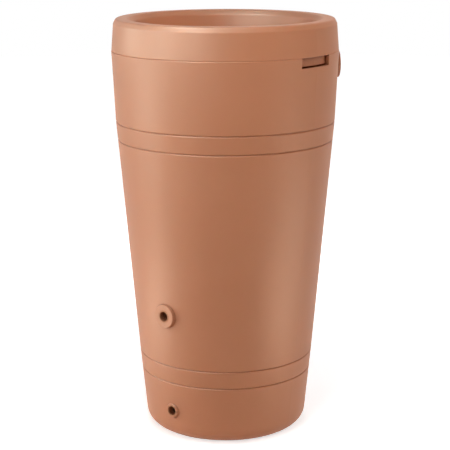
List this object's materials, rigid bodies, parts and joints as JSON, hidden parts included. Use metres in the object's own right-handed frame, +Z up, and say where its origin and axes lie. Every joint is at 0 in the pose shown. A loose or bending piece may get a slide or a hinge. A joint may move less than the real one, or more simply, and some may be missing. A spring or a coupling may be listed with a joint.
{
  "type": "rain barrel",
  "caption": "Tapered round rain barrel with a lift-off collector bowl, lift-out leaf strainer, and flat bosses with threaded tap, drain and overflow ports.",
  "frame": {"origin": "centre of the base, on the ground, on the barrel's axis", "axes": "+Z up; the tap and drain ports face -Y; the finger notches face +X and -X; the overflow port faces halfway between +X and +Y"},
  "size_m": [0.5924, 0.5936, 1.098],
  "materials": {
    "barrel_plastic": "satin terracotta polyethylene, faintly pebbled",
    "insert_plastic": "satin terracotta polyethylene",
    "strainer_plastic": "matte dark brown",
    "strainer_steel": "drawn stainless wire"
  },
  "bodies": {
    "barrel": {"barrel_shell": "barrel_plastic", "tap_port_insert": "insert_plastic", "drain_port_insert": "insert_plastic", "overflow_port_insert": "insert_plastic"},
    "collector": {"collector_bowl": "barrel_plastic"},
    "strainer": {"strainer_frame": "strainer_plastic", "strainer_mesh": "strainer_steel", "strainer_clamp_ring": "strainer_plastic"},
    "bail": {"strainer_bail": "strainer_steel"}
  },
  "joints": [
    {"name": "collector_lift", "type": "slide", "parent": "barrel", "child": "collector", "axis": [0, 0, 1], "range_m": [0, 0.15]},
    {"name": "strainer_lift", "type": "slide", "parent": "collector", "child": "strainer", "axis": [0, 0, 1], "range_m": [0, 0.182]},
    {"name": "bail_swing", "type": "hinge", "parent": "strainer", "child": "bail", "pos_m": [0, 0, 0.981], "axis": [1, 0, 0], "range_deg": [0, 180]}
  ]
}
